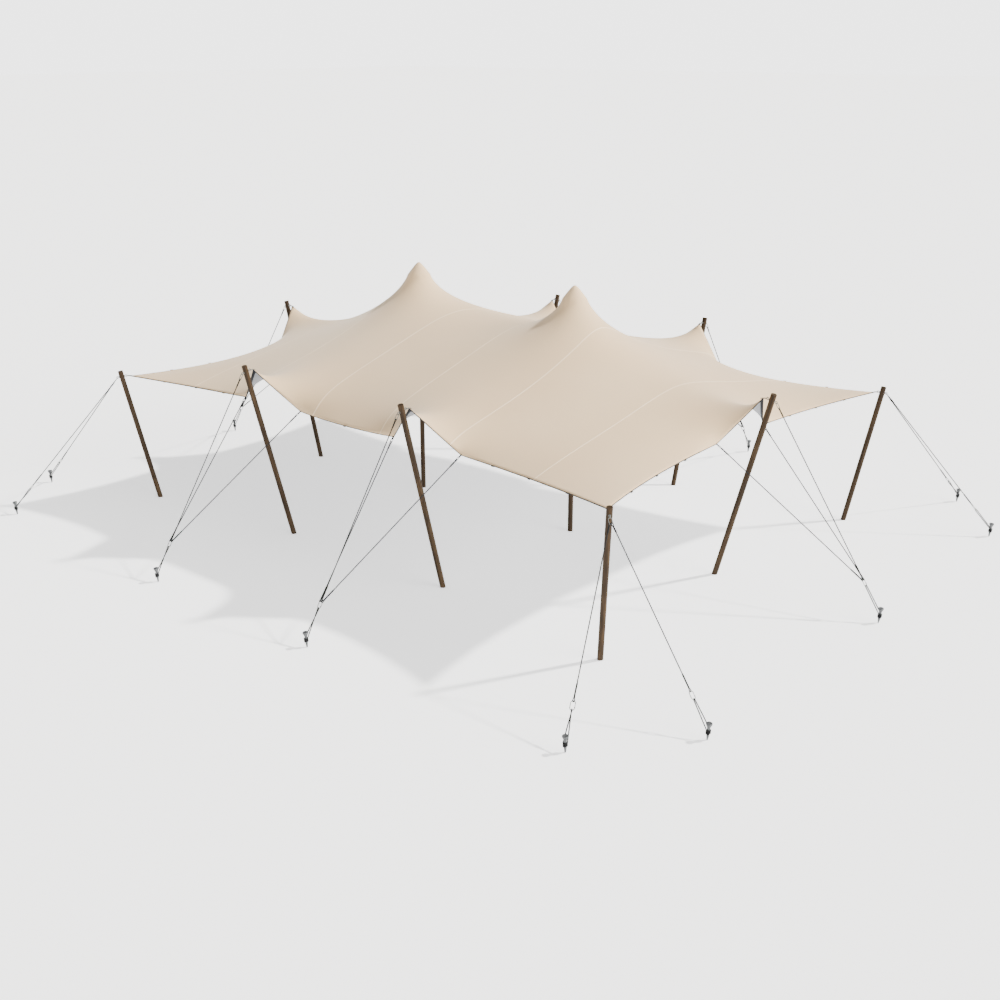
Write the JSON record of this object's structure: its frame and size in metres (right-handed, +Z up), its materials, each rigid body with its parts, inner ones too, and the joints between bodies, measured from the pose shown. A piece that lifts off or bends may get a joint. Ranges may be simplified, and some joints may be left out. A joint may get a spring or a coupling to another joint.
{
  "type": "stretch tent",
  "caption": "Freeform stretch-fabric shelter: peaked canopy on leaning timber poles, guyed with ropes, slings and carabiners to ground stakes.",
  "frame": {"origin": "on the ground, under the middle of the canopy", "axes": "+X along the long side, +Y across to the far side, +Z up"},
  "size_m": [15.4088, 12.3854, 4.368],
  "materials": {
    "canopy_fabric": "matt stretch fabric, beige above",
    "webbing": "woven charcoal webbing",
    "pole_timber": "stained round timber",
    "cap_rubber": "matt",
    "zinc_hardware": "zinc plated",
    "steel_links": "satin",
    "rope": "braided cord",
    "sleeve": "sewn sleeve",
    "stake_steel": "grey paint"
  },
  "bodies": {
    "shelter": {"canopy": "canopy_fabric", "edge_band": "webbing", "edge_tabs": "webbing", "canopy_straps": "webbing", "pole_corner_front_left": "pole_timber", "pole_corner_front_right": "pole_timber", "pole_corner_back_right": "pole_timber", "pole_corner_back_left": "pole_timber", "pole_side_front_left": "pole_timber", "pole_side_front_right": "pole_timber", "pole_side_back_right": "pole_timber", "pole_side_back_left": "pole_timber", "pole_end_left": "pole_timber", "pole_end_right": "pole_timber", "king_pole_left": "pole_timber", "king_pole_right": "pole_timber", "king_caps": "cap_rubber", "eye_bolts": "zinc_hardware", "bolt_washers": "zinc_hardware", "inner_links": "steel_links", "outer_links": "steel_links", "dip_links": "steel_links", "corner_guys": "rope", "pole_guys": "rope", "dip_guys": "rope", "guy_sleeves": "sleeve", "ground_carabiners": "steel_links", "gate_pins": "steel_links", "stakes_corner": "stake_steel", "stakes_front": "stake_steel", "stakes_back": "stake_steel", "stakes_left": "stake_steel", "stakes_right": "stake_steel", "stake_lashings": "rope", "slings_corner": "rope", "slings_side": "rope"},
    "gate_01_body": {"gate_01": "steel_links"},
    "gate_02_body": {"gate_02": "steel_links"},
    "gate_03_body": {"gate_03": "steel_links"},
    "gate_04_body": {"gate_04": "steel_links"},
    "gate_05_body": {"gate_05": "steel_links"},
    "gate_06_body": {"gate_06": "steel_links"},
    "gate_07_body": {"gate_07": "steel_links"},
    "gate_08_body": {"gate_08": "steel_links"},
    "gate_09_body": {"gate_09": "steel_links"},
    "gate_10_body": {"gate_10": "steel_links"},
    "gate_11_body": {"gate_11": "steel_links"},
    "gate_12_body": {"gate_12": "steel_links"},
    "gate_13_body": {"gate_13": "steel_links"},
    "gate_14_body": {"gate_14": "steel_links"}
  },
  "joints": [
    {"name": "gate_01_swing", "type": "hinge", "parent": "shelter", "child": "gate_01_body", "pos_m": [-6.24718, -5.72045, 0.47214], "axis": [-0.283, -0.6762, 0.6802], "range_deg": [0, 22], "stiffness_Nm_per_rad": 0.08, "springref_deg": -22.92},
    {"name": "gate_02_swing", "type": "hinge", "parent": "shelter", "child": "gate_02_body", "pos_m": [-7.25084, -4.54782, 0.47507], "axis": [-0.717, -0.1808, 0.6732], "range_deg": [0, 22], "stiffness_Nm_per_rad": 0.08, "springref_deg": -22.92},
    {"name": "gate_03_swing", "type": "hinge", "parent": "shelter", "child": "gate_03_body", "pos_m": [6.30437, -5.69652, 0.47214], "axis": [0.283, -0.6762, 0.6802], "range_deg": [0, 22], "stiffness_Nm_per_rad": 0.08, "springref_deg": -22.92},
    {"name": "gate_04_swing", "type": "hinge", "parent": "shelter", "child": "gate_04_body", "pos_m": [7.266, -4.4877, 0.47507], "axis": [0.717, -0.1808, 0.6732], "range_deg": [0, 22], "stiffness_Nm_per_rad": 0.08, "springref_deg": -22.92},
    {"name": "gate_05_swing", "type": "hinge", "parent": "shelter", "child": "gate_05_body", "pos_m": [6.24718, 5.72045, 0.47214], "axis": [0.283, 0.6762, 0.6802], "range_deg": [0, 22], "stiffness_Nm_per_rad": 0.08, "springref_deg": -22.92},
    {"name": "gate_06_swing", "type": "hinge", "parent": "shelter", "child": "gate_06_body", "pos_m": [7.25084, 4.54782, 0.47507], "axis": [0.717, 0.1808, 0.6732], "range_deg": [0, 22], "stiffness_Nm_per_rad": 0.08, "springref_deg": -22.92},
    {"name": "gate_07_swing", "type": "hinge", "parent": "shelter", "child": "gate_07_body", "pos_m": [-6.30437, 5.69652, 0.47214], "axis": [-0.283, 0.6762, 0.6802], "range_deg": [0, 22], "stiffness_Nm_per_rad": 0.08, "springref_deg": -22.92},
    {"name": "gate_08_swing", "type": "hinge", "parent": "shelter", "child": "gate_08_body", "pos_m": [-7.266, 4.4877, 0.47507], "axis": [-0.717, 0.1808, 0.6732], "range_deg": [0, 22], "stiffness_Nm_per_rad": 0.08, "springref_deg": -22.92},
    {"name": "gate_09_swing", "type": "hinge", "parent": "shelter", "child": "gate_09_body", "pos_m": [-1.7735, -5.86248, 0.55691], "axis": [0, -0.829, 0.5592], "range_deg": [0, 22], "stiffness_Nm_per_rad": 0.08, "springref_deg": -22.92},
    {"name": "gate_10_swing", "type": "hinge", "parent": "shelter", "child": "gate_10_body", "pos_m": [1.8355, -5.86248, 0.55691], "axis": [0, -0.829, 0.5592], "range_deg": [0, 22], "stiffness_Nm_per_rad": 0.08, "springref_deg": -22.92},
    {"name": "gate_11_swing", "type": "hinge", "parent": "shelter", "child": "gate_11_body", "pos_m": [1.7735, 5.86248, 0.55691], "axis": [0, 0.829, 0.5592], "range_deg": [0, 22], "stiffness_Nm_per_rad": 0.08, "springref_deg": -22.92},
    {"name": "gate_12_swing", "type": "hinge", "parent": "shelter", "child": "gate_12_body", "pos_m": [-1.8355, 5.86248, 0.55691], "axis": [0, 0.829, 0.5592], "range_deg": [0, 22], "stiffness_Nm_per_rad": 0.08, "springref_deg": -22.92},
    {"name": "gate_13_swing", "type": "hinge", "parent": "shelter", "child": "gate_13_body", "pos_m": [-7.37258, -0.031, 0.55579], "axis": [-0.8268, 0, 0.5625], "range_deg": [0, 22], "stiffness_Nm_per_rad": 0.08, "springref_deg": -22.92},
    {"name": "gate_14_swing", "type": "hinge", "parent": "shelter", "child": "gate_14_body", "pos_m": [7.37258, 0.031, 0.55579], "axis": [0.8268, 0, 0.5625], "range_deg": [0, 22], "stiffness_Nm_per_rad": 0.08, "springref_deg": -22.92}
  ]
}
